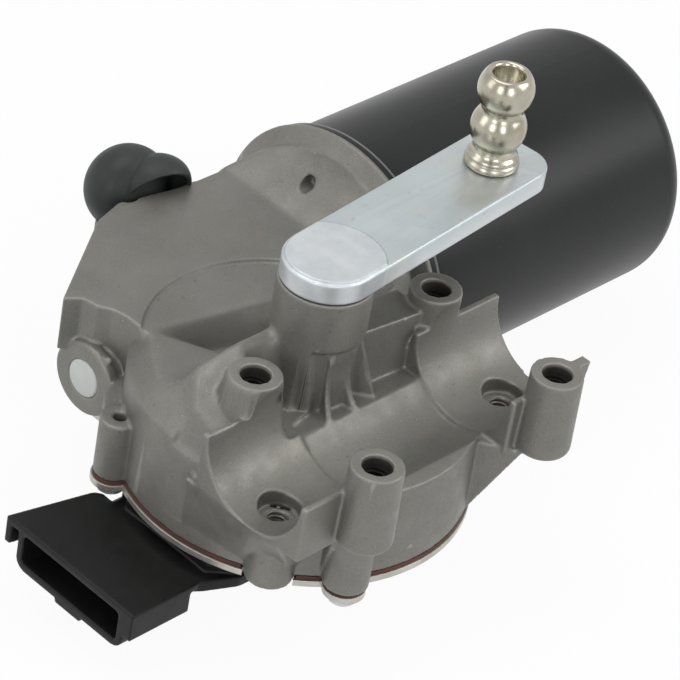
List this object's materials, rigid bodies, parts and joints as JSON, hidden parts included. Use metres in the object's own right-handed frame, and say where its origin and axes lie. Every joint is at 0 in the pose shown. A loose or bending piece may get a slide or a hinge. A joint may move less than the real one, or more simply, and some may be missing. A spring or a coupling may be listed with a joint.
{
  "type": "wiper motor",
  "caption": "Vehicle wiper motor: dark motor can on a cast worm gearbox with a tube saddle and mounting bosses, and a plated crank arm with a double ball stud.",
  "frame": {"origin": "middle of the four mounting bosses, in the plane of their end faces", "axes": "+X along the armature towards the closed end of the motor can, +Y from the tube saddle towards the worm, +Z along the output shaft towards the crank"},
  "size_m": [0.2078, 0.1292, 0.1054],
  "materials": {
    "cast_aluminium": "satin",
    "steel_cover": "satin",
    "gasket": "matt",
    "zinc_steel": "satin",
    "sintered_bronze": "matt",
    "rubber_black": "matt",
    "bare_steel": "polished",
    "stud_steel": "polished",
    "gear_plastic": "matt",
    "copper": "polished",
    "black_plastic": "satin",
    "plug_plastic": "satin",
    "can_paint": "semi-gloss",
    "ferrite": "matt",
    "carbon": "matt",
    "laminations": "satin",
    "phenolic": "matt"
  },
  "bodies": {
    "housing": {"gear_housing": "cast_aluminium", "cover_gasket": "gasket", "cover_plate": "steel_cover", "cover_screws": "zinc_steel", "lower_shaft_bush": "sintered_bronze", "upper_shaft_bush": "sintered_bronze", "neck_seal": "rubber_black", "thrust_washer": "bare_steel", "switch_carrier": "black_plastic", "park_contacts": "copper", "thrust_plug": "plug_plastic", "worm_end_bush": "sintered_bronze", "front_bearing": "sintered_bronze", "bearing_retainer": "bare_steel", "rear_bearing": "sintered_bronze", "motor_can": "can_paint", "can_seal": "rubber_black", "can_screws": "zinc_steel", "field_magnets": "ferrite", "brush_plate": "phenolic", "brush_holders": "sintered_bronze", "carbon_brushes": "carbon", "brush_springs": "bare_steel", "choke_coils": "copper", "connector_housing": "black_plastic", "connector_terminals": "bare_steel", "breather_cap": "rubber_black"},
    "crank": {"output_shaft": "bare_steel", "worm_wheel": "gear_plastic", "contact_disc": "copper", "crank_arm": "zinc_steel", "ball_stud": "stud_steel", "shaft_circlip": "bare_steel"},
    "armature": {"armature_shaft": "bare_steel", "thrust_ball": "bare_steel", "armature_core": "laminations", "armature_windings": "copper", "commutator_hub": "phenolic", "commutator_bars": "copper"}
  },
  "joints": [
    {"name": "crank_spin", "type": "hinge", "parent": "housing", "child": "crank", "pos_m": [-0.0031, 0.0246, 0], "axis": [0, 0, 1], "continuous": true},
    {"name": "armature_spin", "type": "hinge", "parent": "housing", "child": "armature", "pos_m": [0, 0.0641, -0.029], "axis": [1, 0, 0], "continuous": true}
  ],
  "couplings": [
    {"joint": "armature_spin", "follows": "crank_spin", "ratio": 54}
  ]
}
